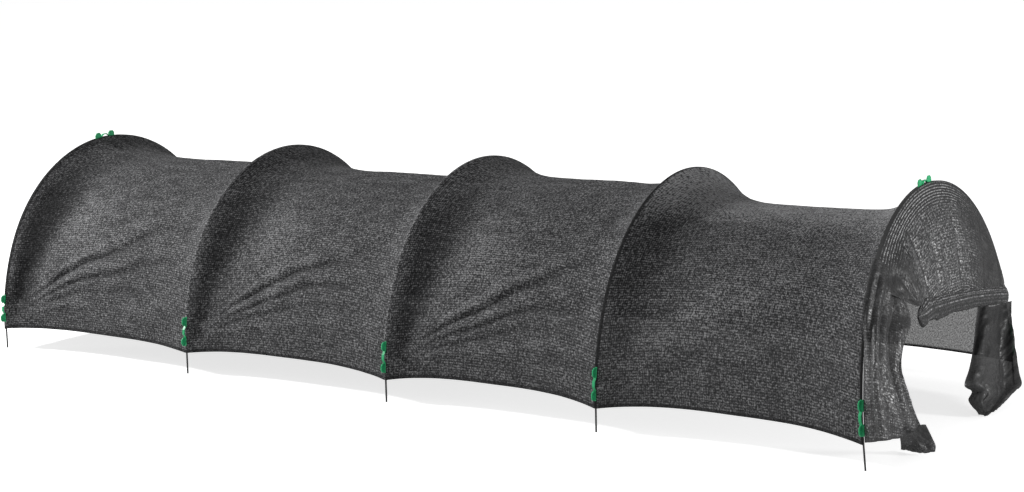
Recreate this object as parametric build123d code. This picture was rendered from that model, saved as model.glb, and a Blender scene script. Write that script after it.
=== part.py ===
"""Low garden tunnel: five bent rod hoops, a shade net over them, snap clips and end curtains.

Frame: +X along the tunnel towards the open end, -Y the front, +Z up. The origin is the
middle of the footprint at ground level. Sizes are in millimetres.
"""
from build123d import *
import math
import os

# Hoops
SPAN = 1200.0
RISE = 670.0
SIDE_RADIUS = 800.0
GROUND_CLEARANCE = 75.0
ROD_RADIUS = 3.0
ROD_SIDES = 8
BAY_LENGTHS = (925.0, 885.0, 810.0, 885.0)
END_HOOP_LEAN = 4.9

# Shade net
NET_THICKNESS = 1.0
NET_SEAT = 0.3
RIDGE_SAG = (80.0, 84.0, 66.0, 108.0)
SIDE_PULL = 34.0
HEM_LIFT = 26.0
SAG_POWER = 6.0
PULL_POWER = 3.0
NET_LAND = 4.0
NET_FACETS = 20
BAY_STATIONS = (0.0, 0.04, 0.1, 0.2, 0.36, 0.64, 0.8, 0.9, 0.96, 1.0)

# Snap clips
JAW_LENGTH = 34.0
JAW_PITCH = 70.0
JAW_WALL = 2.4
JAW_CLEARANCE = 0.3
JAW_WRAP = 240.0
JAW_FACETS = 5
TAB_HEIGHT = 19.0
TAB_LENGTH = 30.0
TAB_THICKNESS = 3.2
STRAP_WIDTH = 9.0
STRAP_THICKNESS = 3.0
STRAP_BOW = 12.0
CLIP_RELIEF = 1.0
STRAP_RELIEF = 4.5
FOOT_CLIP_HEIGHT = 76.0
TOP_CLIP_OFFSET = 32.0
TOP_CLIP_HOOPS = (1, 5)

# Left end curtain
CURTAIN_GROUND_GAP = 70.0

# Raised curtain at the open end, in the plane of the end hoop: across, up, outwards
ROLL_FAR_INSET = 52.0
ROLL_NEAR_INSET = 270.0
CURTAIN_INSET = 138.0
ROLL_FAR = (SPAN / 2 - ROLL_FAR_INSET, 230.0, 14.0)
ROLL_NEAR = (ROLL_NEAR_INSET - SPAN / 2, 350.0, 88.0)
ROLL_FAR_HALF = (8.0, 28.0)
ROLL_NEAR_HALF = (11.0, 20.0)
CURTAIN_NEAR_EDGE = CURTAIN_INSET - SPAN / 2
CURTAIN_STRIPS = 16
ROLL_FACETS = 12

# Loose folds at the open end: height, then outwards from the end hoop and inwards from its leg
DRAPE_THICKNESS = 7.0
DRAPE_LEVELS = (
    (500.0, (-14.0, 133.0)),
    (450.0, (10.0, 128.0)),
    (400.0, (34.0, 122.0)),
    (300.0, (52.0, 134.0)),
    (190.0, (80.0, 148.0)),
    (95.0, (112.0, 160.0)),
    (3.0, (128.0, 228.0)),
)
TAIL_THICKNESS = 9.0
TAIL_TOP_INSETS = (208.0, 64.0)
TAIL_LEVELS = (
    (200.0, (44.0, 385.0), (92.0, 160.0)),
    (105.0, (50.0, 540.0), (130.0, 280.0)),
    (50.0, (66.0, 510.0), (118.0, 350.0)),
    (6.0, (80.0, 490.0), (92.0, 435.0)),
)

HOOPS = len(BAY_LENGTHS) + 1
HOOP_X = [sum(BAY_LENGTHS[:k]) for k in range(HOOPS)]
FACET_GROWTH = 1 / math.cos(math.pi / NET_FACETS / 2)
NET_OFFSET = ROD_RADIUS + NET_SEAT
NET_SIDE = NET_OFFSET + SIDE_RADIUS * (FACET_GROWTH - 1)
JAW_GROWTH = 1 / math.cos(math.radians(JAW_WRAP / JAW_FACETS / 2))
JAW_INNER = ROD_RADIUS + JAW_CLEARANCE
JAW_OUTER = JAW_INNER + JAW_WALL


def arch(half_span, rise):
    """Three-centred arch: radius and height of the crown's centre, and the angle where it starts."""
    crown = (2 * SIDE_RADIUS * half_span - half_span**2 - rise**2) / (2 * (SIDE_RADIUS - rise))
    height = rise - crown
    return crown, height, math.atan2(height, SIDE_RADIUS - half_span)


def arch_point(half_span, rise, turn, offset=0.0):
    """Point of an arch whose outward normal makes an angle (in radians) with the ground."""
    crown, height, joint = arch(half_span, rise)
    if joint < turn < math.pi - joint:
        return (crown + offset) * math.cos(turn), height + (crown + offset) * math.sin(turn)
    side = 1 if turn <= joint else -1
    centre = side * (half_span - SIDE_RADIUS)
    return centre + (SIDE_RADIUS + offset) * math.cos(turn), (SIDE_RADIUS + offset) * math.sin(turn)


def arch_height(half_span, rise, across, offset=0.0):
    """Height of an arch, moved outwards by an offset, at a place across the tunnel."""
    crown, height, joint = arch(half_span, rise)
    if abs(across) < (crown + offset) * math.cos(joint):
        return height + math.sqrt((crown + offset) ** 2 - across**2)
    reach = abs(across) - (half_span - SIDE_RADIUS)
    return math.sqrt((SIDE_RADIUS + offset) ** 2 - reach**2)


def arch_half_width(up):
    """Half width of the rods' arch at a height above the hem line, on its side arcs."""
    return SPAN / 2 - SIDE_RADIUS + math.sqrt(SIDE_RADIUS**2 - up**2)


def hoop_plane(k):
    """Plane of hoop k: x across the tunnel, y up the hoop, z along the tunnel."""
    lean = END_HOOP_LEAN if k == HOOPS else 0.0
    return tilted_plane(HOOP_X[k - 1], GROUND_CLEARANCE, lean)


def tilted_plane(along, level, lean):
    """Plane across the tunnel at a place and height, with its top leaning towards the start."""
    upright = Plane(origin=(0, 0, 0), x_dir=(0, 1, 0), z_dir=(1, 0, 0))
    return Location((along, 0, level)) * Location((0, 0, 0), (0, -lean, 0)) * upright.location


def hoop(k):
    """One bent rod with straight feet, cut level at the ground."""
    crown, height, joint = arch(SPAN / 2, RISE)
    foot_length = GROUND_CLEARANCE + 4 * ROD_RADIUS
    section = RegularPolygon(ROD_RADIUS, ROD_SIDES)
    spring = Plane(origin=(SPAN / 2, 0, 0), x_dir=(1, 0, 0), z_dir=(0, 1, 0)) * section
    foot = extrude(spring, -foot_length)
    side_axis = Axis((SPAN / 2 - SIDE_RADIUS, 0, 0), (0, 0, 1))
    side = revolve(spring, side_axis, math.degrees(joint))
    shoulder = spring.rotate(side_axis, math.degrees(joint))
    top = revolve(shoulder, Axis((0, height, 0), (0, 0, 1)), 180 - 2 * math.degrees(joint))
    leg = foot + side
    rod = hoop_plane(k) * (leg + mirror(leg, Plane.YZ) + top)
    soil = Pos(HOOP_X[k - 1], 0, -foot_length) * Box(4 * foot_length, 2 * SPAN, 2 * foot_length)
    return rod - soil


def folded_solid(rings):
    """Closed solid with flat facets between rings of as many corners each."""
    corners = len(rings[0])
    facets = [rings[0], rings[-1]]
    for upper, lower in zip(rings, rings[1:]):
        for i in range(corners):
            following = (i + 1) % corners
            facets.append((upper[i], upper[following], lower[following]))
            facets.append((upper[i], lower[following], lower[i]))
    faces = [make_face(Polyline(*facet, close=True)).face() for facet in facets]
    return Solid(Shell(faces))


def net_outline(half_span, rise, offset):
    """Points of the net's cross-section, from the back foot over the top to the front foot."""
    turns = [i * math.pi / NET_FACETS for i in range(NET_FACETS + 1)]
    return [arch_point(half_span, rise, turn, offset) for turn in turns]


def net_ring(half_span, rise):
    """Corners of the net's closed cross-section over an arch of rods."""
    inner = net_outline(half_span, rise, NET_SIDE)
    outer = net_outline(half_span, rise, NET_SIDE + NET_THICKNESS)
    return inner + outer[::-1]


def cover_bay(k):
    """The net between hoops k and k + 1, sagging at the ridge and drawn in at the sides."""
    length = BAY_LENGTHS[k - 1]
    hanging = length - 2 * NET_LAND
    places = [0.0, *(NET_LAND + station * hanging for station in BAY_STATIONS), length]
    rings = []
    for place in places:
        station = min(max((place - NET_LAND) / hanging, 0), 1)
        slack = 1 - abs(2 * station - 1) ** SAG_POWER
        pull = SIDE_PULL * (1 - abs(2 * station - 1) ** PULL_POWER)
        lean = END_HOOP_LEAN * place / length if k + 1 == HOOPS else 0.0
        lift = HEM_LIFT * slack
        along = HOOP_X[k - 1] + place
        frame = tilted_plane(along, GROUND_CLEARANCE + lift, lean)
        ring = net_ring(SPAN / 2 - pull, RISE - RIDGE_SAG[k - 1] * slack - lift)
        rings.append([(frame * Pos(*point)).position for point in ring])
    return folded_solid(rings) - clip_reliefs(k) - clip_reliefs(k + 1)


def rod_frame(k, turn):
    """Frame on the rod of hoop k: z along the rod, x outwards, y across the rod."""
    point = arch_point(SPAN / 2, RISE, turn)
    outward = Vector(math.cos(turn), math.sin(turn), 0)
    along = Vector(-math.sin(turn), math.cos(turn), 0)
    return hoop_plane(k) * Plane(origin=(*point, 0), x_dir=outward, z_dir=along).location


def clip_turns(k):
    """Angle of the rod's outward normal at the middle of each clip on hoop k, by place."""
    foot = math.asin(FOOT_CLIP_HEIGHT / SIDE_RADIUS)
    turns = {"front": math.pi - foot, "back": foot}
    if k in TOP_CLIP_HOOPS:
        turns["top"] = math.pi / 2 + TOP_CLIP_OFFSET / arch(SPAN / 2, RISE)[0]
    return turns


def jaw_frames(k, turn):
    """Frames of the two jaws of a clip whose middle is where the rod's normal has this angle."""
    crown, _, joint = arch(SPAN / 2, RISE)
    radius = crown if joint < turn < math.pi - joint else SIDE_RADIUS
    step = JAW_PITCH / 2 / radius
    return [rod_frame(k, turn - step), rod_frame(k, turn + step)]


def jaw():
    """Snap jaw open towards the inside of the tunnel, with its thumb tab outside."""
    wrap = math.radians(JAW_WRAP)
    turns = [wrap * (i / JAW_FACETS - 0.5) for i in range(JAW_FACETS + 1)]
    inner = [(JAW_INNER * JAW_GROWTH * math.cos(t), JAW_INNER * JAW_GROWTH * math.sin(t)) for t in turns]
    outer = [(JAW_OUTER * JAW_GROWTH * math.cos(t), JAW_OUTER * JAW_GROWTH * math.sin(t)) for t in turns]
    barrel = extrude(make_face(Polyline(*inner, *outer[::-1], close=True)), JAW_LENGTH / 2, both=True)
    root = JAW_OUTER - JAW_WALL / 2
    tip = JAW_OUTER + TAB_HEIGHT
    shoulder = JAW_OUTER + 0.6 * TAB_HEIGHT
    half = TAB_LENGTH / 2
    outline = Polyline(
        (root, -half),
        (shoulder, -half),
        (tip, -0.5 * half),
        (tip, 0.5 * half),
        (shoulder, half),
        (root, half),
        close=True,
    )
    tab = extrude(Plane.XZ * make_face(outline), TAB_THICKNESS / 2, both=True)
    return barrel + tab


def strap():
    """Bowed strap between the two jaws of a clip."""
    gap = (JAW_PITCH - JAW_LENGTH) / 2
    root = JAW_OUTER + (STRAP_THICKNESS - JAW_WALL) / 2
    crest = JAW_OUTER + STRAP_BOW
    centre = [
        (root, gap + STRAP_THICKNESS),
        (crest - STRAP_THICKNESS, 0.45 * gap),
        (crest - STRAP_THICKNESS, -0.45 * gap),
        (root, -gap - STRAP_THICKNESS),
    ]
    inner = [(out - STRAP_THICKNESS / 2, along) for out, along in centre]
    outer = [(out + STRAP_THICKNESS / 2, along) for out, along in centre]
    band = make_face(Polyline(*inner, *outer[::-1], close=True))
    return extrude(Plane.XZ * band, STRAP_WIDTH / 2, both=True)


def clip(k, turn):
    """One moulded clip: two jaws and the strap that joins them."""
    return rod_frame(k, turn) * strap() + [frame * jaw() for frame in jaw_frames(k, turn)]


def clip_reliefs(k):
    """Room that the clips of hoop k take out of the net beside them."""
    width = 2 * (JAW_OUTER * JAW_GROWTH + CLIP_RELIEF)
    block = Box(2 * width, width, JAW_LENGTH + 2 * STRAP_RELIEF)
    return [frame * block for turn in clip_turns(k).values() for frame in jaw_frames(k, turn)]


def left_end_curtain():
    """Net that turns over the first hoop, hangs down and closes that end."""
    skirt = GROUND_CLEARANCE - CURTAIN_GROUND_GAP
    edge = net_outline(SPAN / 2, RISE, NET_SIDE + NET_THICKNESS)
    outline = Polyline((edge[0][0], -skirt), *edge, (edge[-1][0], -skirt), close=True)
    outer_face = -NET_OFFSET - NET_THICKNESS
    sheet = Pos(0, 0, outer_face) * extrude(make_face(outline), NET_THICKNESS)
    rim = make_face(Polyline(*net_ring(SPAN / 2, RISE), close=True))
    turned_edge = Pos(0, 0, outer_face) * extrude(rim, -outer_face)
    return hoop_plane(1) * (sheet + turned_edge) - clip_reliefs(1)


def roll_middle(across):
    """Middle and half sizes of the rolled hem at a place across the tunnel."""
    share = (across - ROLL_FAR[0]) / (ROLL_NEAR[0] - ROLL_FAR[0])
    up = ROLL_FAR[1] + share * (ROLL_NEAR[1] - ROLL_FAR[1])
    out = ROLL_FAR[2] + share * (ROLL_NEAR[2] - ROLL_FAR[2])
    half_up = ROLL_FAR_HALF[1] + share * (ROLL_NEAR_HALF[1] - ROLL_FAR_HALF[1])
    return up, out, half_up


def rolled_hem():
    """Hem of the raised curtain, rolled up and caught at the back leg of the end hoop."""
    ends = []
    for middle, half in ((ROLL_FAR, ROLL_FAR_HALF), (ROLL_NEAR, ROLL_NEAR_HALF)):
        turns = [i * 2 * math.pi / ROLL_FACETS for i in range(ROLL_FACETS)]
        outline = [(half[0] * math.cos(turn), half[1] * math.sin(turn)) for turn in turns]
        plane = Plane(origin=middle, x_dir=(0, 0, 1), z_dir=(1, 0, 0))
        ends.append(plane * make_face(Polyline(*outline, close=True)))
    return hoop_plane(HOOPS) * loft(ends, ruled=True)


def raised_curtain():
    """Net that turns over the end hoop and hangs down to the rolled hem."""
    frame = hoop_plane(HOOPS)
    near = math.acos(CURTAIN_NEAR_EDGE / (SPAN / 2))
    far = math.acos(ROLL_FAR[0] / (SPAN / 2))
    rings = []
    for i in range(CURTAIN_STRIPS + 1):
        across = SPAN / 2 * math.cos(near + i * (far - near) / CURTAIN_STRIPS)
        under = arch_height(SPAN / 2, RISE, across, NET_SIDE)
        rim = arch_height(SPAN / 2, RISE, across, NET_SIDE + NET_THICKNESS)
        roll_up, roll_out, roll_half = roll_middle(across)
        low = roll_up + roll_half + NET_SEAT
        corners = [
            (under, NET_OFFSET),
            (low, roll_out),
            (low, roll_out + NET_THICKNESS),
            (rim, NET_OFFSET + NET_THICKNESS),
            (rim, 0),
            (under, 0),
        ]
        rings.append([(frame * Pos(across, up, out)).position for up, out in corners])
    return folded_solid(rings) - clip_reliefs(HOOPS)


def fold_ring(level, start, end, thickness):
    """Corners of a hanging fold at a height above the ground."""
    base = Vector(HOOP_X[-1], 0, level)
    first = base + Vector(*start)
    last = base + Vector(*end)
    side = (last - first).normalized().cross(Vector(0, 0, 1)) * thickness
    return [first, last, last + side, first + side]


def near_leg_drape():
    """Loose end of the net hanging at the front leg of the end hoop."""
    lean = math.radians(END_HOOP_LEAN)
    rings = []
    for level, (tip_out, tip_inset) in DRAPE_LEVELS:
        up = level - GROUND_CLEARANCE
        leg = -arch_half_width(max(up, 0))
        outwards = (JAW_OUTER * JAW_GROWTH + NET_SEAT) / math.cos(lean) - up * math.tan(lean)
        tip = (tip_out, tip_inset - SPAN / 2)
        rings.append(fold_ring(level, (outwards, leg), tip, DRAPE_THICKNESS))
    return folded_solid(rings)


def hanging_tail():
    """Bundle of loose net hanging below the back end of the rolled hem."""
    frame = hoop_plane(HOOPS)
    corners = []
    for inset in TAIL_TOP_INSETS:
        across = SPAN / 2 - inset
        up, out, half_up = roll_middle(across)
        for depth in (0, TAIL_THICKNESS):
            corners.append((frame * Pos(across, up - half_up - NET_SEAT, out - depth)).position)
    rings = [[corners[0], corners[2], corners[3], corners[1]]]
    for level, (start_out, start_inset), (end_out, end_inset) in TAIL_LEVELS:
        start = (start_out, SPAN / 2 - start_inset)
        end = (end_out, SPAN / 2 - end_inset)
        rings.append(fold_ring(level, start, end, -TAIL_THICKNESS))
    return folded_solid(rings)


def nodes():
    """Every piece by its node name."""
    pieces = {}
    for k in range(1, HOOPS + 1):
        pieces[f"hoop_{k}"] = hoop(k)
    for k in range(1, HOOPS):
        pieces[f"cover_bay_{k}"] = cover_bay(k)
    for k in range(1, HOOPS + 1):
        for place, turn in clip_turns(k).items():
            pieces[f"clip_{place}_{k}"] = clip(k, turn)
    pieces["left_end_curtain"] = left_end_curtain()
    pieces["raised_end_curtain"] = raised_curtain()
    pieces["rolled_hem"] = rolled_hem()
    pieces["near_leg_drape"] = near_leg_drape()
    pieces["hanging_tail"] = hanging_tail()
    return pieces


def main():
    """Write each piece to its own file, with the origin in the middle of the footprint."""
    os.makedirs("parts", exist_ok=True)
    pieces = nodes()
    whole = Compound(children=[Compound(piece.wrapped) for piece in pieces.values()]).bounding_box()
    shift = Pos(-whole.center().X, -whole.center().Y, -whole.min.Z)
    for name, piece in pieces.items():
        export_step(shift * piece, f"parts/{name}.step")


main()
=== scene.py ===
"""Looks of a low garden tunnel: rod hoops, a knitted shade net in sheets, snap clips and a studio.

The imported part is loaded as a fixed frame. The net's sheets are modelled here, hang where their
solids are, and carry a knit that follows each sheet's own flat coordinates. Sizes are in metres.
"""

import logging
import math
from dataclasses import dataclass, field
from enum import Enum

import bpy
import numpy as np
from mathutils import Matrix, Vector


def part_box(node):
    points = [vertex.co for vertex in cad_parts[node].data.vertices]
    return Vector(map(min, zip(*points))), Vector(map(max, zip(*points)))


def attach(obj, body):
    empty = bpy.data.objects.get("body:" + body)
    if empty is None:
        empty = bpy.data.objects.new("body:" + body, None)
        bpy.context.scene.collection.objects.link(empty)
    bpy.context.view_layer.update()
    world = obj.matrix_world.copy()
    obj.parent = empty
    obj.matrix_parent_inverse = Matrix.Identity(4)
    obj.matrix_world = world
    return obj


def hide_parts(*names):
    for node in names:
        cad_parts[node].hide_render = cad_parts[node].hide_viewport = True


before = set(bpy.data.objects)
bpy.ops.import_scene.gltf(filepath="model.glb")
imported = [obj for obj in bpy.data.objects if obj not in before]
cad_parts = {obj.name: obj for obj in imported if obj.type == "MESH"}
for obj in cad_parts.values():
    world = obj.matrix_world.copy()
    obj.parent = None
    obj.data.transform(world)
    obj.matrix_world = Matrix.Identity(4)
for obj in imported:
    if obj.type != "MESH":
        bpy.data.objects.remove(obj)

Socket = bpy.types.NodeSocket

LOG = logging.getLogger("garden_tunnel")
IMAGE_WIDTH = 1024
HEM_WIDTH = 0.006
LOOSE_OPENNESS = 0.02
ROLL_OPENNESS = 0.01
BACK_HALF_START = 1.25
BACK_HALF_EASE = 0.2


class Slot(Enum):
    """Material slots of the record."""

    ROD = "rod"
    NET = "shade_net"
    CLIP = "clip_plastic"


class Held(Enum):
    """How a sheet of net is held."""

    DRAPED = "draped"
    HUNG = "hung"
    FOLDED = "folded"
    STRETCHED = "stretched"


def smooth(value: np.ndarray) -> np.ndarray:
    """Ease values from 0 to 1.

    Args:
        value: any numbers; those under 0 give 0 and those over 1 give 1.

    Returns:
        The eased values.
    """
    share = np.clip(value, 0.0, 1.0)
    return share * share * (3.0 - 2.0 * share)


def bump_at(value: np.ndarray, middle: float, spread: float) -> np.ndarray:
    """Bell curve of height 1 round a middle."""
    return np.exp(-(((value - middle) / spread) ** 2))


def creases(across: np.ndarray, along: np.ndarray, seed: int) -> np.ndarray:
    """Smooth random relief of a soft sheet, the same in each run.

    Args:
        across: first coordinate, in cells.
        along: second coordinate, in cells.
        seed: number that picks the relief.

    Returns:
        Heights from -1 to 1.
    """
    table = np.random.default_rng(seed).random((61, 61)) * 2.0 - 1.0
    col, row = np.floor(across).astype(int), np.floor(along).astype(int)
    part_a, part_b = smooth(across - col), smooth(along - row)
    low = table[col % 61, row % 61] * (1 - part_a) + table[(col + 1) % 61, row % 61] * part_a
    high = table[col % 61, (row + 1) % 61] * (1 - part_a) + table[(col + 1) % 61, (row + 1) % 61] * part_a
    return low * (1 - part_b) + high * part_b


def between(knots: np.ndarray, count: int) -> np.ndarray:
    """Smooth curve through knots along the first axis.

    Args:
        knots: array whose first axis runs along the curve.
        count: how many points to return.

    Returns:
        The points, as evenly spread over the knots' numbers.
    """
    padded = np.concatenate([2 * knots[:1] - knots[1:2], knots, 2 * knots[-1:] - knots[-2:-1]])
    place = np.linspace(0.0, len(knots) - 1.0, count)
    start = np.minimum(place.astype(int), len(knots) - 2)
    part = (place - start).reshape(-1, *[1] * (knots.ndim - 1))
    before, first, last, after = (padded[start + i] for i in range(4))
    slope_in, slope_out = (last - before) / 2, (after - first) / 2
    square, cube = part**2, part**3
    ends = first * (2 * cube - 3 * square + 1) + last * (3 * square - 2 * cube)
    return ends + slope_in * (cube - 2 * square + part) + slope_out * (cube - square)


@dataclass
class ShaderDesk:
    """Writes one material's nodes."""

    name: str
    material: bpy.types.Material = field(init=False)

    def __post_init__(self) -> None:
        """Start an empty material with a shader and its output."""
        self.material = bpy.data.materials.new(self.name)
        self.material.use_nodes = True
        self.material.node_tree.nodes.clear()
        self.surface = self.node("ShaderNodeBsdfPrincipled")
        self.output = self.node("ShaderNodeOutputMaterial")
        self.link(self.surface.outputs["BSDF"], self.output.inputs["Surface"])

    def node(self, kind: str, **values: object) -> bpy.types.Node:
        """Add a node.

        Args:
            kind: the node's type.
            values: settings of the node, or values of its inputs.

        Returns:
            The node.
        """
        made = self.material.node_tree.nodes.new(kind)
        for key, value in values.items():
            if hasattr(made, key):
                setattr(made, key, value)
            else:
                made.inputs[key.replace("_", " ")].default_value = value
        return made

    def link(self, start: Socket, end: Socket) -> None:
        """Join an output to an input."""
        self.material.node_tree.links.new(start, end)

    def math(self, operation: str, *values: object) -> Socket:
        """Do sums on sockets or numbers.

        Args:
            operation: the Math node's operation.
            values: sockets or numbers, as many as it takes.

        Returns:
            The result's socket.
        """
        made = self.node("ShaderNodeMath", operation=operation)
        for place, value in enumerate(values):
            if isinstance(value, (int, float)):
                made.inputs[place].default_value = value
            else:
                self.link(value, made.inputs[place])
        return made.outputs[0]

    def flat_coordinates(self, across: float, along: float) -> Socket:
        """The sheet's own coordinates in metres, stretched along each way."""
        source = self.node("ShaderNodeUVMap", uv_map="flat")
        stretched = self.node("ShaderNodeMapping", Scale=(across, along, 1.0))
        self.link(source.outputs["UV"], stretched.inputs["Vector"])
        return stretched.outputs["Vector"]

    def place_coordinates(self, scale: tuple[float, float, float]) -> Socket:
        """The piece's own place in metres, stretched along each axis."""
        source = self.node("ShaderNodeTexCoord")
        stretched = self.node("ShaderNodeMapping", Scale=scale)
        self.link(source.outputs["Object"], stretched.inputs["Vector"])
        return stretched.outputs["Vector"]

    def attribute(self, name: str) -> Socket:
        """A number kept on the sheet's points."""
        return self.node("ShaderNodeAttribute", attribute_name=name).outputs["Fac"]

    def grain(self, place: Socket, scale: float, detail: float) -> Socket:
        """Fine random pattern at a place."""
        made = self.node("ShaderNodeTexNoise", Scale=scale, Detail=detail)
        self.link(place, made.inputs["Vector"])
        return made.outputs["Fac"]

    def wave(self, place: Socket, way: str, period: float, stray: float) -> Socket:
        """Rows of stitches.

        Args:
            place: socket of the coordinates in metres.
            way: axis across the rows, X or Y.
            period: distance between rows.
            stray: how much the rows wander.

        Returns:
            A value from 0 to 1 across each row.
        """
        made = self.node("ShaderNodeTexWave", bands_direction=way, Scale=math.tau / 20 / period)
        made.inputs["Distortion"].default_value = stray
        made.inputs["Detail Scale"].default_value = 30.0
        self.link(place, made.inputs["Vector"])
        return made.outputs["Fac"]

    def ramp(self, value: Socket, stops: tuple[tuple[float, tuple[float, ...]], ...]):
        """Colours along a value.

        Args:
            value: socket that picks the colour.
            stops: place and linear colour of each stop.

        Returns:
            The colour's socket.
        """
        made = self.node("ShaderNodeValToRGB")
        while len(made.color_ramp.elements) < len(stops):
            made.color_ramp.elements.new(0.5)
        for element, (place, colour) in zip(made.color_ramp.elements, stops):
            element.position = place
            element.color = (*colour, 1.0)
        self.link(value, made.inputs["Fac"])
        return made.outputs["Color"]

    def span(self, value: Socket, low: float, high: float, start: float = 0.0, end: float = 1.0) -> Socket:
        """Stretch a value over a range.

        Args:
            value: the value's socket.
            low: result where the value is at its start.
            high: result where the value is at its end.
            start: the value's start.
            end: the value's end.

        Returns:
            The result's socket.
        """
        made = self.node("ShaderNodeMapRange", From_Min=start, From_Max=end, To_Min=low, To_Max=high)
        self.link(value, made.inputs["Value"])
        return made.outputs["Result"]

    def relief(self, height: Socket, strength: float, distance: float) -> None:
        """Let a height shade the surface."""
        made = self.node("ShaderNodeBump", Strength=strength, Distance=distance)
        self.link(height, made.inputs["Height"])
        self.link(made.outputs["Normal"], self.surface.inputs["Normal"])


@dataclass(frozen=True)
class NetFinish:
    """Charcoal knitted net of flat, slightly shiny tape."""

    name: str = "knitted_shade_net"
    dark: tuple[float, float, float] = (0.004, 0.004, 0.0045)
    middle: tuple[float, float, float] = (0.034, 0.034, 0.036)
    # Colour of the lightest specks, which are painted glints of the shiny tape on top of the knit's random
    # tone.
    light: tuple[float, float, float] = (0.30, 0.30, 0.305)
    stops: tuple[float, float, float] = (0.34, 0.48, 0.68)
    roughness: tuple[float, float] = (0.7, 0.95)
    shine: float = 0.3
    course: float = 0.0085
    wale: float = 0.006

    def make(self) -> bpy.types.Material:
        """Make the material.

        Returns:
            The net's material, open between its yarns as the sheet's points say.
        """
        desk = ShaderDesk(self.name)
        flat = desk.flat_coordinates(1.0, 1.0)
        rows = desk.wave(flat, "Y", self.course, 0.5)
        columns = desk.wave(flat, "X", self.wale, 2.4)
        yarn = desk.grain(desk.flat_coordinates(0.9, 1.0), 210.0, 3.0)
        tape = desk.grain(desk.flat_coordinates(1.2, 0.9), 95.0, 2.0)
        patch = desk.grain(desk.flat_coordinates(0.7, 1.0), 22.0, 4.0)
        rib = desk.attribute("rib")
        ribbed = desk.math("MULTIPLY_ADD", desk.span(rows, -0.5, 0.22), rib, 1.0)
        knit = desk.math("MULTIPLY", ribbed, desk.span(columns, 0.92, 1.06))
        mixed = desk.math("ADD", desk.math("MULTIPLY", yarn, 0.6), desk.math("MULTIPLY", tape, 0.4))
        speckle = desk.math("MULTIPLY", desk.math("MULTIPLY", mixed, knit), desk.span(patch, 0.84, 1.16))
        # The tone kept on the sheet darkens or lightens the knit with its painted shade and painted light.
        toned = desk.math("MULTIPLY", speckle, desk.attribute("tone"))
        colour = desk.ramp(toned, tuple(zip(self.stops, (self.dark, self.middle, self.light))))
        desk.link(colour, desk.surface.inputs["Base Color"])
        desk.link(desk.span(mixed, *self.roughness, 0.62, 0.38), desk.surface.inputs["Roughness"])
        desk.surface.inputs["Specular IOR Level"].default_value = self.shine
        gaps = desk.grain(desk.flat_coordinates(1.0, 0.8), 230.0, 2.0)
        through = desk.math("MULTIPLY", desk.attribute("openness"), desk.span(gaps, -0.6, 2.6))
        alpha = desk.math("SUBTRACT", 1.0, through)
        alpha.node.use_clamp = True
        desk.link(alpha, desk.surface.inputs["Alpha"])
        height = desk.math("ADD", desk.math("MULTIPLY", rows, desk.math("MULTIPLY", rib, 0.7)), mixed)
        desk.relief(height, 0.6, 0.0018)
        return desk.material


@dataclass(frozen=True)
class RodFinish:
    """Black fibre rod with a faint lengthwise grain."""

    name: str = "black_fibre_rod"
    dark: tuple[float, float, float] = (0.006, 0.006, 0.006)
    light: tuple[float, float, float] = (0.022, 0.022, 0.024)

    def make(self) -> bpy.types.Material:
        """Make the material."""
        desk = ShaderDesk(self.name)
        fibre = desk.grain(desk.place_coordinates((900.0, 900.0, 30.0)), 1.0, 2.0)
        desk.link(desk.ramp(fibre, ((0.3, self.dark), (0.7, self.light))), desk.surface.inputs["Base Color"])
        desk.link(desk.span(fibre, 0.28, 0.5), desk.surface.inputs["Roughness"])
        desk.relief(fibre, 0.15, 0.0003)
        return desk.material


@dataclass(frozen=True)
class ClipFinish:
    """Bright green moulded plastic, scuffed a little."""

    name: str = "green_clip_plastic"
    deep: tuple[float, float, float] = (0.018, 0.36, 0.13)
    bright: tuple[float, float, float] = (0.045, 0.55, 0.23)

    def make(self) -> bpy.types.Material:
        """Make the material."""
        desk = ShaderDesk(self.name)
        flow = desk.grain(desk.place_coordinates((1.0, 1.0, 0.6)), 90.0, 2.0)
        scuff = desk.grain(desk.place_coordinates((1.0, 1.0, 1.0)), 420.0, 4.0)
        desk.link(desk.ramp(flow, ((0.3, self.deep), (0.7, self.bright))), desk.surface.inputs["Base Color"])
        desk.link(desk.span(scuff, 0.22, 0.5), desk.surface.inputs["Roughness"])
        desk.relief(scuff, 0.12, 0.0004)
        return desk.material


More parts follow.
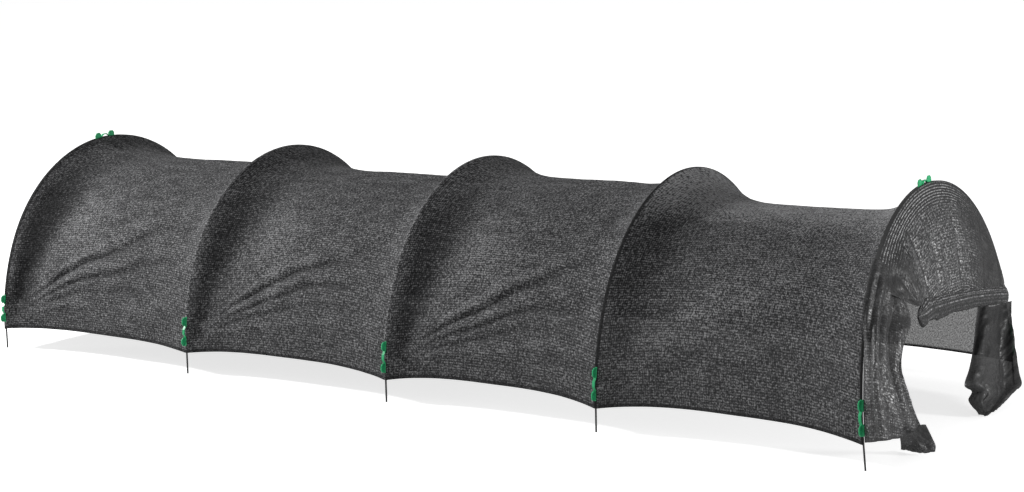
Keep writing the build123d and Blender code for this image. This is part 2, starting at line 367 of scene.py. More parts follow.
@dataclass
class TunnelForm:
    """The arch of the hoops, where they stand, and how the net hangs between them."""

    half_span: float = 0.6
    rise: float = 0.67
    side_radius: float = 0.8
    clearance: float = 0.075
    lean: float = math.radians(4.9)
    bays: tuple[float, ...] = (0.925, 0.885, 0.81, 0.885)
    sags: tuple[float, ...] = (0.08, 0.084, 0.066, 0.108)
    side_pull: float = 0.034
    hem_lifts: tuple[float, ...] = (0.015, 0.021, 0.024, 0.026)
    hem_power: float = 3.0
    sag_power: float = 4.5
    pull_power: float = 3.0
    land: float = 0.004
    seat: float = 0.0046

    def hoop_x(self, number: int) -> float:
        """Place of a hoop along the tunnel, counted from 1."""
        low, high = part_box("hoop_1")
        return (low.x + high.x) / 2 + sum(self.bays[: number - 1])

    def arch(self, half: np.ndarray, rise: np.ndarray, turn: np.ndarray, out: np.ndarray) -> tuple:
        """Points of a three-centred arch.

        Args:
            half: half its span.
            rise: its height over the hem line.
            turn: angle of the outward normal, 0 at the back and pi at the front.
            out: distance outwards from the arch.

        Returns:
            Places across the tunnel and heights over the hem line.
        """
        crown = (2 * self.side_radius * half - half**2 - rise**2) / (2 * (self.side_radius - rise))
        height = rise - crown
        joint = np.arctan2(height, self.side_radius - half)
        top = (turn > joint) & (turn < math.pi - joint)
        side = np.where(turn < math.pi / 2, half - self.side_radius, self.side_radius - half)
        radius = np.where(top, crown, self.side_radius) + out
        across = np.where(top, 0.0, side) + radius * np.cos(turn)
        return across, np.where(top, height, 0.0) + radius * np.sin(turn)

    def lowest_turn(self, half: np.ndarray, rise: np.ndarray) -> np.ndarray:
        """Angle where a low arch's crown meets the hem line, or 0 where side arcs reach it."""
        crown = (2 * self.side_radius * half - half**2 - rise**2) / (2 * (self.side_radius - rise))
        return np.arcsin(np.maximum(crown - rise, 0.0) / crown)

    def on_hoop(self, number: int, across: np.ndarray, up: np.ndarray, out: np.ndarray) -> np.ndarray:
        """Points given in the plane of a hoop, in the tunnel's frame.

        Args:
            number: the hoop, counted from 1.
            across: place across the tunnel.
            up: height in the hoop's plane over the hem line.
            out: distance from that plane along the tunnel.

        Returns:
            Points as an array whose last axis is x, y, z.
        """
        lean = self.lean if number == len(self.bays) + 1 else 0.0
        x = self.hoop_x(number) - up * math.sin(lean) + out * math.cos(lean)
        z = self.clearance + up * math.cos(lean) + out * math.sin(lean)
        return np.stack([x, across + 0.0 * x, z], axis=-1)

    def rim(self, across: np.ndarray, out: float) -> np.ndarray:
        """Height of the hoops' arch over the hem line at places across the tunnel."""
        turn = np.linspace(0.0, math.pi, 721)
        places, heights = self.arch(self.half_span + 0 * turn, self.rise + 0 * turn, turn, out + 0 * turn)
        return np.interp(across, places[::-1], heights[::-1])


@dataclass
class NetSheet:
    """A sheet of net as a grid of points with flat coordinates, numbers for its finish, and its painted light
    and shade.
    """

    name: str
    points: np.ndarray
    flat: np.ndarray
    openness: np.ndarray | float
    # tone: the sheet's lightness round 1, which carries painted shade and painted light as well as darker
    # hems.
    tone: np.ndarray
    rib: np.ndarray | float = 0.25
    inside_out: bool = False

    def build(self, finish: bpy.types.Material) -> bpy.types.Object:
        """Make the object.

        Args:
            finish: the net's material.

        Returns:
            The sheet, riding on the tunnel.
        """
        rows, columns = self.points.shape[:2]
        index = np.arange(rows * columns).reshape(rows, columns)
        corners = (index[:-1, :-1], index[:-1, 1:], index[1:, 1:], index[1:, :-1])
        quads = np.stack(corners, axis=-1).reshape(-1, 4)
        if self.inside_out:
            quads = quads[:, ::-1]
        mesh = bpy.data.meshes.new(self.name)
        mesh.from_pydata(self.points.reshape(-1, 3).tolist(), [], quads.tolist())
        layer = mesh.uv_layers.new(name="flat")
        layer.data.foreach_set("uv", self.flat.reshape(-1, 2)[quads.ravel()].astype(np.float32).ravel())
        even = np.ones(rows * columns)
        for key, values in (("openness", self.openness), ("tone", self.tone), ("rib", self.rib)):
            kept = mesh.attributes.new(key, "FLOAT", "POINT")
            kept.data.foreach_set("value", (np.ravel(values) * even).astype(np.float32))
        mesh.materials.append(finish)
        sheet = bpy.data.objects.new(self.name, mesh)
        bpy.context.scene.collection.objects.link(sheet)
        mesh.polygons.foreach_set("use_smooth", [True] * len(mesh.polygons))
        mesh.update()
        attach(sheet, "root")
        return sheet


@dataclass(frozen=True)
class DragFold:
    """A fold that the pull of a foot clip draws up across the net.

    Attributes:
        angle: degrees above the hem.
        spread: half width in degrees.
        height: how far it stands out, or in where negative; it also scales the painted light on a fold that
            stands out and the painted shade in one that is sunk.
        reach: length from the clip.
    """

    angle: float
    spread: float
    height: float
    reach: float


@dataclass
class CoverBay:
    """The net between two hoops.

    Attributes:
        form: the tunnel's form.
        number: the bay, counted from 1.
        openness: share that shows through at the first and at the last hoop, and what the back adds.
        rod_shade: how much darker the net is over the first and the last hoop.
        folds: folds drawn up from the front foot of the first hoop.
        crease: height of the net's fine creases.
        trough: depth of the hollow beside the first hoop, which also scales its painted shade and the painted
            light of the patch.
        crown_painted_light: painted light that makes the crown lighter.
        end_power: how late the net sags from the last hoop, higher for a shorter slope.
        band_painted_shade: painted shade in the hollow beside the first hoop, for each metre of its depth.
        columns: points along the bay.
        rows: points over the arch.
    """

    form: TunnelForm
    number: int
    openness: tuple[float, float, float]
    rod_shade: tuple[float, float]
    folds: tuple[DragFold, ...]
    crease: float = 0.0021
    trough: float = 0.018
    crown_painted_light: float = 0.0
    end_power: float = 9.0
    band_painted_shade: float = 4.5
    columns: int = 150
    rows: int = 320

    def slack(self, share: np.ndarray, power: float) -> np.ndarray:
        """How far from the hoops the net has let go, from 0 to 1."""
        return 1 - np.abs(2 * share - 1) ** power

    def relief(self, along: np.ndarray, around: np.ndarray, length: float) -> tuple[np.ndarray, np.ndarray]:
        """How far the net stands out of its smooth hang, and its painted light and shade.

        Args:
            along: distance from the first hoop.
            around: distance from the front hem over the arch.
            length: the bay's length.

        Returns:
            Distances outwards, and tones round 1 that hold painted light and painted shade.
        """
        near = np.minimum(along, length - along)
        high = around - 0.04
        wander = creases(along * 6.0, around * 8.0, 30 + self.number)
        reach = np.hypot(along, high)
        angle = np.degrees(np.arctan2(high, along + 0.002)) + 2.2 * wander + 9.0 * (reach - 0.4)
        total, tone = np.zeros_like(along), np.ones_like(along)
        for fold in self.folds:
            begun = smooth(reach / (0.4 * fold.reach))
            ended = smooth((reach - 0.5 * fold.reach) / (0.5 * fold.reach))
            bump = bump_at(angle, fold.angle, fold.spread) * (begun * (1 - ended))
            total += fold.height * bump
            # Painted light on the folds that stand out and painted shade in the sunk ones.
            tone += 13.0 * fold.height * bump
        band = 0.06 + 0.10 * smooth((high - 0.02) / 0.45)
        sunk = smooth(high / 0.10) * (1 - smooth((high - 0.40) / 0.36))
        total -= self.trough * smooth(along / band) * (1 - smooth((along - band) / 0.15)) * sunk
        # Painted shade in the hollow beside the first hoop, standing for the hoop's shadow.
        dark = smooth(along / 0.08) * (1 - smooth((along - 0.55 * band) / 0.12)) * sunk
        tone -= self.band_painted_shade * self.trough * dark
        # Painted light in a patch about 0.3 m past the first hoop and 0.38 m up the side.
        tone += 5.0 * self.trough * bump_at(along, 0.30, 0.11) * bump_at(high, 0.38, 0.15)
        # Painted light over the crown.
        tone += self.crown_painted_light * smooth((high - 0.55) / 0.25) * (1 - smooth((high - 1.1) / 0.2))
        drawn, across = along * 0.88 + around * 0.47, around * 0.88 - along * 0.47
        total += self.crease * creases(drawn * 4.0, across * 12.0, 3 + self.number)
        total += 0.5 * self.crease * creases(drawn * 11.0, across * 32.0, 13 + self.number)
        total += 0.25 * self.crease * creases(drawn * 28.0, across * 64.0, 23 + self.number)
        ridge = bump_at(around, 0.92, 0.14) * bump_at(along / length, 0.66, 0.24)
        total += 0.0028 * ridge * np.sin(math.tau * around / 0.045 + 9.0 * along + 2.5 * wander)
        return total * smooth(near / 0.06), tone

    def build(self, finish: bpy.types.Material) -> bpy.types.Object:
        """Make the bay's sheet.

        Args:
            finish: the net's material.

        Returns:
            The sheet in place of its solid.
        """
        form, length = self.form, self.form.bays[self.number - 1]
        step = np.linspace(0.0, 1.0, self.columns)
        eased = (0.5 * step + 0.5 * (0.5 - 0.5 * np.cos(math.pi * step)))[:, None]
        turn = np.linspace(math.pi, 0.0, self.rows)[None, :]
        place, turn = np.broadcast_arrays(eased, turn)
        share = np.clip((place * length - form.land) / (length - 2 * form.land), 0.0, 1.0)
        slack = self.slack(share, np.where(share < 0.5, form.sag_power, self.end_power))
        lift = form.hem_lifts[self.number - 1] * self.slack(share, form.hem_power)
        half = form.half_span - form.side_pull * self.slack(share, form.pull_power)
        rise = form.rise - form.sags[self.number - 1] * slack - lift
        turn = math.pi / 2 + (turn - math.pi / 2) * (1 - 2 * form.lowest_turn(half, rise) / math.pi)
        across, up = form.arch(half, rise, turn, np.full(share.shape, form.seat))
        steps = np.cumsum(np.hypot(np.diff(across), np.diff(up)), axis=1)
        around = np.concatenate([np.zeros((self.columns, 1)), steps], axis=1)
        along = place * length
        out, tone = self.relief(along, around, length)
        across, up = form.arch(half, rise, turn, form.seat + out)
        lean = form.lean * place if self.number == len(form.bays) else 0.0 * place
        x = form.hoop_x(self.number) + along - up * np.sin(lean)
        z = form.clearance + lift + up * np.cos(lean)
        near = np.minimum(along, length - along)
        whole = around[:, -1:]
        edge = np.minimum(around, whole - around)
        hem = 1 - smooth((edge - HEM_WIDTH) / HEM_WIDTH)
        first, last = self.rod_shade
        rod = first * bump_at(along, 0.0, 0.0036) + last * bump_at(along, length, 0.0036)
        # The bump just before the last hoop is a painted highlight where the net turns over the rod; it is
        # left out where the net over that rod is darkened.
        tone = tone * (1 - rod) * (1 - 0.22 * hem) + 0.10 * bump_at(along, length - 0.004, 0.006) * (1 - last)
        share = along / length
        near_end, far_end, back = self.openness
        openness = (near_end + (far_end - near_end) * share) * (1 - 0.8 * rod) * (1 - 0.6 * hem)
        openness = openness + back * smooth((around - BACK_HALF_START) / BACK_HALF_EASE) * (1 - hem)
        flat = np.stack([form.hoop_x(self.number) + along, around], axis=-1)
        points = np.stack([x, across, z], axis=-1)
        made = NetSheet(f"net_bay_{self.number}", points, flat, openness, tone, 0.2, True).build(finish)
        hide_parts(f"cover_bay_{self.number}")
        LOG.info("net_bay_%d: %d points", self.number, x.size)
        return made


@dataclass
class LeftCurtain:
    """The net's end that turns over the first hoop and hangs down to close the tunnel."""

    form: TunnelForm
    ground_gap: float = 0.072
    overlap: float = 0.006
    columns: int = 150
    rows: int = 90

    def build(self, finish: bpy.types.Material) -> bpy.types.Object:
        """Make the curtain."""
        form = self.form
        side = np.linspace(-1.0, 1.0, self.columns)[:, None]
        across = (form.half_span + form.seat) * np.sin(side * math.pi / 2)
        down = np.linspace(0.0, 1.0, self.rows)[None, :]
        rim = form.rim(np.clip(across, -0.6, 0.6), form.seat + 0.001)
        low = self.ground_gap - form.clearance
        turned = smooth(down / 0.06)
        hang = np.clip((down - 0.06) / 0.94, 0.0, 1.0)
        up = rim + hang * (low - rim)
        length = rim - low
        waves = creases(across * 13.0 + 2.0, hang * 1.3 + across, 5)
        waves = waves + 0.5 * creases(across * 29.0, hang * 2.0, 6)
        deep = smooth(hang * 3.0) * (0.4 + 0.6 * hang) * (1 - 0.7 * np.abs(side) ** 6)
        out = self.overlap * (1 - turned) - 0.0046 * turned - 0.006 * deep * (0.5 + 0.5 * waves)
        points = form.on_hoop(1, across + 0.0 * up, up, out)
        flat = np.stack([across + 0.0 * up, hang * length + 0.0 * up], axis=-1)
        hem = 1 - smooth(((1 - hang) * length - HEM_WIDTH) / HEM_WIDTH)
        rod = bump_at(hang * length, 0.0, 0.006)
        tone = (1 - 0.4 * rod) * (1 - 0.3 * hem)
        made = NetSheet("net_left_curtain", points, flat, 0.05 * (1 - 0.8 * hem), tone).build(finish)
        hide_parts("left_end_curtain")
        LOG.info("net_left_curtain: %d points", up.size)
        return made


@dataclass(frozen=True)
class LooseNet:
    """A loose piece of net given by a few points on the end hoop.

    Attributes:
        name: the sheet's name.
        node: the solid it stands for, or nothing where it is an addition.
        points: rows of points from the top down, as place across, height and distance outwards.
        size: rows and columns of its mesh.
        flat: width and length it was cut to; not used.
        held: how it is held; not used.
        rests_on: what carries it; not used.
        folds: how many folds run down it, and how far they stand out; the folds' creases get painted shade
            and their ridges painted light.
        crumple: height of its random creases.
        tone: how light the net is, round 1.
        rib: how strongly its rows of stitches show.
    """

    name: str
    node: str | None
    points: tuple[tuple[tuple[float, float, float], ...], ...]
    size: tuple[int, int]
    flat: tuple[float, float]
    held: Held
    rests_on: tuple[str, ...]
    folds: tuple[float, float]
    crumple: float
    tone: float = 1.0
    rib: float = 0.2

    def build(self, form: TunnelForm, finish: bpy.types.Material) -> bpy.types.Object:
        """Make the sheet.

        Args:
            form: the tunnel's form.
            finish: the net's material.

        Returns:
            The sheet.
        """
        rough = between(np.array(self.points), self.size[0])
        grid = between(rough.swapaxes(0, 1), self.size[1]).swapaxes(0, 1)
        points = form.on_hoop(len(form.bays) + 1, grid[..., 0], grid[..., 1], grid[..., 2])
        down = np.gradient(points, axis=0)
        over = np.gradient(points, axis=1)
        normal = np.cross(down, over)
        normal /= np.maximum(np.linalg.norm(normal, axis=-1, keepdims=True), 1e-9)
        width = np.cumsum(np.linalg.norm(over, axis=-1), axis=1)
        fall = np.cumsum(np.linalg.norm(down, axis=-1), axis=0)
        share = np.linspace(0.0, 1.0, self.size[1])[None, :]
        level = np.linspace(0.0, 1.0, self.size[0])[:, None]
        count, deep = self.folds
        phase = share * count + 0.35 * creases(share * 3.0 + 0 * level, level * 3.0 + 0 * share, 61)
        fold = 1 - np.abs(2 * (phase % 1.0) - 1) ** 1.5
        out = deep * (fold - 0.5) * smooth(share * 8.0) * (0.4 + 0.6 * smooth(level * 3.0))
        out = out + self.crumple * creases(width * 40.0, fall * 26.0, 62) * smooth(share * 6.0)
        out = out + 0.5 * self.crumple * creases(width * 95.0, fall * 70.0, 63) * smooth(share * 6.0)
        points = points + normal * out[..., None]
        points[..., 2] = np.maximum(points[..., 2], 0.002)
        hem = 1 - smooth((fall[-1:] - fall - 0.005) / 0.004)
        side = 1 - smooth((width[:, -1:] - width - 0.007) / 0.003)
        tone = self.tone * (1 - 0.2 * hem) * (1 + 0.08 * side)
        # Painted shade in the fold creases with painted light on their ridges, and painted shade towards the
        # top of the sheet.
        tone = tone * (0.94 + 0.12 * fold) * (0.84 + 0.16 * smooth((level - 0.1) / 0.45))
        flat = np.stack([width, fall], axis=-1)
        made = NetSheet(self.name, points, flat, LOOSE_OPENNESS, tone, self.rib).build(finish)
        if self.node:
            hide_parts(self.node)
        LOG.info("%s: %d points", self.name, width.size)
        return made


DRAPE = LooseNet(
    "net_leg_drape",
    "near_leg_drape",
    (
        ((-0.446, 0.512, 0.000), (-0.413, 0.489, 0.022), (-0.375, 0.457, 0.036), (-0.352, 0.420, 0.052)),
        ((-0.489, 0.455, 0.000), (-0.463, 0.434, 0.028), (-0.424, 0.408, 0.044), (-0.392, 0.375, 0.070)),
        ((-0.527, 0.394, 0.000), (-0.500, 0.377, 0.032), (-0.458, 0.345, 0.050), (-0.408, 0.323, 0.088)),
        ((-0.547, 0.336, 0.000), (-0.539, 0.321, 0.038), (-0.504, 0.296, 0.056), (-0.451, 0.287, 0.092)),
        ((-0.557, 0.277, 0.004), (-0.566, 0.264, 0.044), (-0.531, 0.245, 0.062), (-0.491, 0.244, 0.090)),
        ((-0.571, 0.217, 0.0042), (-0.592, 0.209, 0.050), (-0.550, 0.199, 0.070), (-0.515, 0.199, 0.094)),
        ((-0.584, 0.157, 0.0042), (-0.606, 0.157, 0.056), (-0.557, 0.145, 0.082), (-0.502, 0.137, 0.102)),
        ((-0.594, 0.097, 0.0042), (-0.614, 0.097, 0.060), (-0.560, 0.086, 0.090), (-0.484, 0.080, 0.110)),
        ((-0.599, 0.037, 0.0042), (-0.615, 0.041, 0.060), (-0.549, 0.034, 0.092), (-0.468, 0.035, 0.116)),
        ((-0.600, 0.006, 0.0042), (-0.612, 0.016, 0.060), (-0.541, 0.012, 0.090), (-0.461, 0.026, 0.114)),
    ),
    (150, 90),
    (0.20, 0.52),
    Held.HUNG,
    ("hoop_5",),
    (4.0, 0.008),
    0.0026,
    0.88,
)
CORNER = LooseNet(
    "net_ground_corner",
    None,
    (
        ((-0.562, 0.041, 0.092), (-0.512, 0.038, 0.100), (-0.467, 0.032, 0.112), (-0.437, 0.026, 0.122)),
        ((-0.477, -0.016, 0.058), (-0.442, -0.010, 0.080), (-0.407, -0.022, 0.088), (-0.379, -0.026, 0.114)),
        ((-0.398, -0.054, 0.023), (-0.390, -0.046, 0.055), (-0.390, -0.062, 0.089), (-0.365, -0.052, 0.115)),
        ((-0.359, -0.070, 0.005), (-0.366, -0.073, 0.039), (-0.372, -0.074, 0.085), (-0.354, -0.072, 0.109)),
    ),
    (50, 70),
    (0.14, 0.15),
    Held.FOLDED,
    ("net_leg_drape",),
    (1.2, 0.006),
    0.004,
    0.82,
)
TAIL = LooseNet(
    "net_tail",
    "hanging_tail",
    (
        ((0.274, 0.248, 0.022), (0.330, 0.235, 0.044), (0.440, 0.225, 0.034), (0.500, 0.226, 0.050)),
        ((0.232, 0.194, 0.026), (0.272, 0.189, 0.060), (0.395, 0.172, 0.044), (0.436, 0.176, 0.070)),
        ((0.186, 0.133, 0.032), (0.222, 0.124, 0.068), (0.368, 0.099, 0.050), (0.405, 0.096, 0.085)),
        ((0.131, 0.075, 0.036), (0.176, 0.068, 0.078), (0.352, 0.036, 0.058), (0.381, 0.026, 0.100)),
        ((0.078, 0.032, 0.038), (0.145, 0.028, 0.088), (0.316, -0.004, 0.062), (0.355, -0.025, 0.115)),
        ((0.128, 0.002, 0.040), (0.139, -0.004, 0.094), (0.268, -0.030, 0.072), (0.300, -0.038, 0.110)),
        ((0.111, -0.021, 0.034), (0.105, -0.022, 0.088), (0.205, -0.050, 0.070), (0.235, -0.056, 0.102)),
        ((0.140, -0.050, 0.034), (0.108, -0.046, 0.084), (0.165, -0.070, 0.068), (0.172, -0.072, 0.094)),
        ((0.162, -0.069, 0.040), (0.128, -0.068, 0.074), (0.145, -0.073, 0.064), (0.142, -0.073, 0.080)),
    ),
    (130, 100),
    (0.28, 0.32),
    Held.HUNG,
    ("net_rolled_hem",),
    (2.4, 0.014),
    0.0045,
    0.62,
)


@dataclass
class OpenEnd:
    """The raised curtain at the open end and its rolled hem."""

    form: TunnelForm
    roll_far: tuple[float, float, float] = (0.548, 0.236, 0.011)
    roll_near: tuple[float, float, float] = (-0.330, 0.333, 0.086)
    far_half: tuple[float, float] = (0.009, 0.029)
    near_half: tuple[float, float] = (0.014, 0.034)
    curtain_edge: float = -0.475
    creases: tuple[float, ...] = (-0.24, -0.135, -0.045, 0.09, 0.18, 0.33, 0.47)

    def roll_middle(self, across: np.ndarray) -> tuple:
        """Height, distance outwards and half sizes of the rolled hem at places across."""
        share = (across - self.roll_far[0]) / (self.roll_near[0] - self.roll_far[0])
        bow = 0.012 * np.sin(math.pi * np.clip(share, 0, 1))
        up = self.roll_far[1] + share * (self.roll_near[1] - self.roll_far[1]) + bow
        out = self.roll_far[2] + share * (self.roll_near[2] - self.roll_far[2])
        thick = self.far_half[0] + share * (self.near_half[0] - self.far_half[0])
        tall = self.far_half[1] + share * (self.near_half[1] - self.far_half[1])
        return up, out, thick, tall

    def pleats(self, across: np.ndarray, hang: np.ndarray) -> np.ndarray:
        """Soft folds between sharp creases that run down the curtain, from 0 to 1."""
        edges = np.array([-0.40, *self.creases, 0.60])
        shifted = across + 0.012 * creases(across * 9.0, hang * 2.0, 21)
        shifted = shifted + 0.03 * (hang - 0.5) * np.sin(across * 8.0)
        place = np.clip(np.searchsorted(edges, shifted), 1, len(edges) - 1)
        part = np.clip((shifted - edges[place - 1]) / (edges[place] - edges[place - 1]), 0.0, 1.0)
        return 1 - np.abs(2 * part - 1) ** 2.1

    def curtain(self, finish: bpy.types.Material) -> bpy.types.Object:
        """The raised curtain, from over the end hoop down to the rolled hem."""
        form = self.form
        side = np.linspace(math.acos(self.curtain_edge / 0.6), math.acos(0.548 / 0.6), 220)[:, None]
        down = np.linspace(0.0, 1.0, 120)[None, :]
        start = 0.6 * np.cos(side) + 0.0 * down
        rim = form.rim(start, form.seat + 0.0012)
        hang = np.clip((down - 0.05) / 0.95, 0.0, 1.0) + 0.0 * side
        turned = smooth(down / 0.05)
        near = self.roll_near[0]
        gathered = np.where(start < near, near + 0.2 * (start - near), start)
        across = start + (gathered - start) * hang**1.2
        roll_up, roll_out, _, tall = self.roll_middle(gathered)
        low = roll_up + 0.55 * tall
        up = rim + hang * (low - rim)
        straight = 0.0052 + hang * (roll_out + 0.004 - 0.0052)
        deep = 0.016 * smooth((hang - 0.12) / 0.35) * (1 - 0.5 * smooth((hang - 0.8) / 0.2))
        deep = deep * smooth((0.56 - start) / 0.12)
        belly = 0.010 * np.sin(math.pi * hang) ** 1.5 * smooth((0.57 - start) / 0.2)
        out = -0.007 * (1 - turned) + turned * (straight + belly + deep * (self.pleats(start, hang) - 0.4))
        out = out + turned * 0.0022 * creases(start * 38.0, hang * 9.0, 22) * smooth(hang * 4.0)
        points = form.on_hoop(5, across, up, out)
        length = hang * (rim - low)
        flat = np.stack([start, length], axis=-1)
        to_hem = (1 - hang) * (rim - low)
        rib = 0.2 + 0.75 * (1 - smooth((length - 0.03) / 0.05)) + 0.6 * (1 - smooth(to_hem / 0.04))
        crease = 1 - smooth(self.pleats(start, hang) / 0.2)
        # Darker over the hoop at the top, and painted shade in the sharp creases below.
        shade = 0.96 - 0.2 * bump_at(length, 0.0, 0.006) - 0.16 * crease * smooth(hang * 3.0)
        # Painted shade over the curtain's near part and over its far side.
        shade = shade - 0.2 * smooth((-0.27 - start) / 0.1) * smooth(hang * 2.0)
        shade = shade - 0.2 * smooth((start - 0.1) / 0.25)
        made = NetSheet("net_raised_curtain", points, flat, LOOSE_OPENNESS, shade, rib, True).build(finish)
        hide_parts("raised_end_curtain")
        LOG.info("net_raised_curtain: %d points", up.size)
        return made

    def roll(self, finish: bpy.types.Material) -> bpy.types.Object:
        """The rolled hem, a flattened bundle of net whose ends are crumpled shut."""
        share = np.linspace(-0.02, 1.04, 200)[:, None]
        wind = np.linspace(0.0, 1.0, 120)[None, :]
        across = self.roll_far[0] + share * (self.roll_near[0] - self.roll_far[0]) + 0.0 * wind
        roll_up, roll_out, thick, tall = self.roll_middle(across)
        turn = math.tau * wind + 0.5
        closed = np.sqrt(np.clip(1 - np.clip((share - 0.97) / 0.07, 0, 1) ** 2, 0, 1))
        closed = closed * np.sqrt(np.clip(1 - np.clip((0.03 - share) / 0.05, 0, 1) ** 2, 0, 1))
        layered = 1 - 0.16 * bump_at(wind, 0.36, 0.025) - 0.13 * bump_at(wind, 0.52, 0.02)
        layered = layered - 0.2 * bump_at(wind, 0.86, 0.03)
        coarse = 0.07 + 0.12 * smooth((share - 0.75) / 0.2)
        fine = 0.05 + 0.10 * smooth((share - 0.8) / 0.15)
        crush = layered + coarse * creases(across * 26.0, wind * 7.0, 31)
        crush = crush + fine * creases(across * 60.0, wind * 13.0, 32)
        out = roll_out + 0.0035 + thick * closed * crush * np.cos(turn)
        droop = 0.012 * smooth((share - 0.9) / 0.14) ** 2
        up = roll_up - droop + tall * closed * crush * np.sin(turn)
        points = self.form.on_hoop(5, across, up, out)
        # Painted shade on the underside of the roll; the creases term after it is random tone.
        shade = 0.9 - 0.12 * smooth((0.5 - np.sin(turn)) / 1.2)
        shade = shade + 0.06 * creases(across * 20.0, wind * 6.0, 33)
        flat = np.stack([across, 0.14 * wind + 0.0 * across], axis=-1)
        made = NetSheet("net_rolled_hem", points, flat, ROLL_OPENNESS, shade, 0.7).build(finish)
        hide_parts("rolled_hem")
        LOG.info("net_rolled_hem: %d points", up.size)
        return made


@dataclass
class DressedSolids:
    """Pieces that keep the shape of their solids and get a finish."""

    prefix: str
    slot: Slot
    finish: bpy.types.Material

    def build(self) -> None:
        """Give every solid with the prefix its finish."""
        for name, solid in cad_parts.items():
            if name.startswith(self.prefix):
                solid.data.materials.clear()
                solid.data.materials.append(self.finish)
                LOG.info("%s: %s in slot %s", name, self.finish.name, self.slot.value)


@dataclass(frozen=True)
class Lamp:
    """A soft studio lamp that looks at a point."""

    name: str
    place: tuple[float, float, float]
    target: tuple[float, float, float]
    size: float
    power: float

    def build(self) -> None:
        """Hang the lamp."""
        data = bpy.data.lights.new(self.name, "AREA")
        data.shape = "DISK"
        data.size = self.size
        data.energy = self.power
        lamp = bpy.data.objects.new(self.name, data)
        bpy.context.scene.collection.objects.link(lamp)
        lamp.location = self.place
        aim = Vector(self.target) - Vector(self.place)
        lamp.rotation_euler = aim.to_track_quat("-Z", "Y").to_euler()


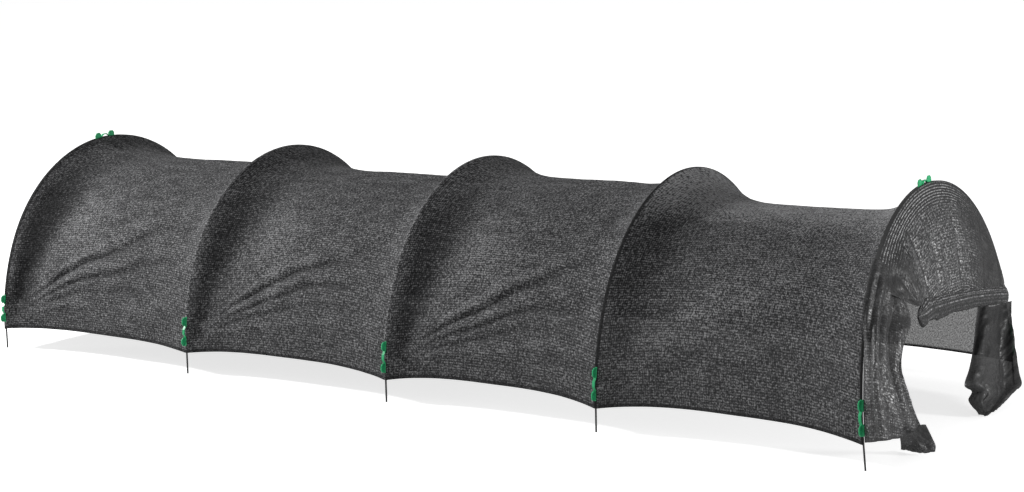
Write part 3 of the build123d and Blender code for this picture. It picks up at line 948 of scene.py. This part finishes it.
@dataclass
class Studio:
    """Camera, lamps, pale floor and white surroundings."""

    camera_place: tuple[float, float, float] = (3.92257, -5.66195, 1.55305)
    yaw: float = 0.59362
    pitch: float = 0.16146
    roll: float = -0.02258
    focal_pixels: float = 1988.05
    ambient: float = 0.32
    lamps: tuple[Lamp, ...] = (
        Lamp("key_lamp", (-8.0, -3.2, 5.2), (0.0, 0.0, 0.3), 1.5, 960.0),
        Lamp("side_lamp", (5.2, 0.2, 1.0), (1.7, -0.2, 0.4), 0.6, 75.0),
    )

    def set_camera(self) -> None:
        """Stand the camera where the photograph was taken from."""
        reach = math.cos(self.pitch)
        ahead = Vector((-math.sin(self.yaw) * reach, math.cos(self.yaw) * reach, -math.sin(self.pitch)))
        level = Vector((math.cos(self.yaw), math.sin(self.yaw), 0.0))
        upright = level.cross(ahead)
        right = math.cos(self.roll) * level + math.sin(self.roll) * upright
        over = math.cos(self.roll) * upright - math.sin(self.roll) * level
        data = bpy.data.cameras.new("camera")
        data.sensor_width = 36.0
        data.lens = self.focal_pixels * 36.0 / IMAGE_WIDTH
        camera = bpy.data.objects.new("camera", data)
        bpy.context.scene.collection.objects.link(camera)
        turned = Matrix((right, over, -ahead)).transposed().to_4x4()
        camera.matrix_world = Matrix.Translation(self.camera_place) @ turned
        bpy.context.scene.camera = camera

    def set_world(self) -> None:
        """White surroundings for the camera, and soft light from all round."""
        world = bpy.data.worlds.new("studio")
        bpy.context.scene.world = world
        world.use_nodes = True
        tree = world.node_tree
        tree.nodes.clear()
        path = tree.nodes.new("ShaderNodeLightPath")
        seen = tree.nodes.new("ShaderNodeMath")
        seen.operation = "MAXIMUM"
        tree.links.new(path.outputs["Is Camera Ray"], seen.inputs[0])
        tree.links.new(path.outputs["Is Transmission Ray"], seen.inputs[1])
        level = tree.nodes.new("ShaderNodeMapRange")
        level.inputs["To Min"].default_value = self.ambient
        level.inputs["To Max"].default_value = 1.0
        tree.links.new(seen.outputs[0], level.inputs["Value"])
        light = tree.nodes.new("ShaderNodeBackground")
        light.inputs["Color"].default_value = (1.0, 1.0, 1.0, 1.0)
        tree.links.new(level.outputs["Result"], light.inputs["Strength"])
        end = tree.nodes.new("ShaderNodeOutputWorld")
        tree.links.new(light.outputs[0], end.inputs["Surface"])

    def set_floor(self) -> None:
        """Pale floor that the camera sees as white and that keeps the shadow."""
        bpy.ops.object.select_all(action="DESELECT")
        bpy.ops.mesh.primitive_plane_add(size=60.0, location=(0.0, 0.0, 0.0))
        floor = bpy.context.object
        floor.name = "floor"
        desk = ShaderDesk("pale_floor")
        desk.surface.inputs["Base Color"].default_value = (0.8, 0.8, 0.8, 1.0)
        desk.surface.inputs["Roughness"].default_value = 0.9
        glow = desk.node("ShaderNodeEmission")
        path = desk.node("ShaderNodeLightPath")
        seen = desk.math("MAXIMUM", path.outputs["Is Camera Ray"], path.outputs["Is Transmission Ray"])
        desk.link(desk.math("MULTIPLY", seen, 1.0 - 0.8 * self.ambient), glow.inputs["Strength"])
        both = desk.node("ShaderNodeAddShader")
        desk.link(desk.surface.outputs["BSDF"], both.inputs[0])
        desk.link(glow.outputs["Emission"], both.inputs[1])
        desk.link(both.outputs[0], desk.output.inputs["Surface"])
        floor.data.materials.append(desk.material)

    def build(self) -> None:
        """Set up the whole studio."""
        bpy.context.scene.view_settings.view_transform = "Standard"
        self.set_camera()
        self.set_world()
        self.set_floor()
        for lamp in self.lamps:
            lamp.build()
        LOG.info("studio: camera and %d lamps", len(self.lamps))


def main() -> None:
    """Build every piece in order."""
    logging.basicConfig(level=logging.INFO)
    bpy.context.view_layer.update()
    Studio().build()
    form = TunnelForm()
    net = NetFinish().make()
    DressedSolids("hoop_", Slot.ROD, RodFinish().make()).build()
    DressedSolids("clip_", Slot.CLIP, ClipFinish().make()).build()
    pulled = (
        DragFold(31.5, 1.3, -0.0075, 0.95),
        DragFold(35.5, 2.4, 0.0045, 1.0),
        DragFold(23.0, 1.2, -0.0065, 1.0),
        DragFold(26.5, 2.0, 0.0035, 0.9),
        DragFold(16.0, 1.2, -0.0045, 0.8),
        DragFold(10.0, 2.6, 0.0035, 0.9),
    )
    calm = (DragFold(38.0, 8.0, 0.005, 1.0), DragFold(14.0, 2.2, -0.003, 1.0))
    # Bay 1 has stronger painted shade beside its first hoop; bays 3 and 4 have painted light on their crowns.
    CoverBay(form, 1, (0.003, 0.005, 0.03), (0.0, 0.0), pulled, band_painted_shade=11.0).build(net)
    CoverBay(form, 2, (0.003, 0.006, 0.03), (0.0, 0.0), pulled).build(net)
    CoverBay(form, 3, (0.004, 0.008, 0.05), (0.0, 0.7), pulled, crown_painted_light=0.03).build(net)
    CoverBay(form, 4, (0.008, 0.010, 0.12), (0.85, 0.75), calm, 0.0014, 0.004, 0.24, 5.0).build(net)
    LeftCurtain(form).build(net)
    # A copy of the net for the loose end pieces: shinier and smoother, and its lightest specks are brighter
    # painted glints.
    loose = NetFinish(
        "loose_shade_net",
        light=(0.48, 0.48, 0.485),
        stops=(0.37, 0.48, 0.63),
        roughness=(0.34, 0.85),
        shine=0.8,
    ).make()
    end = OpenEnd(form)
    end.curtain(loose)
    end.roll(loose)
    for piece in (DRAPE, CORNER, TAIL):
        piece.build(form, loose)


if __name__ == "__main__":
    main()
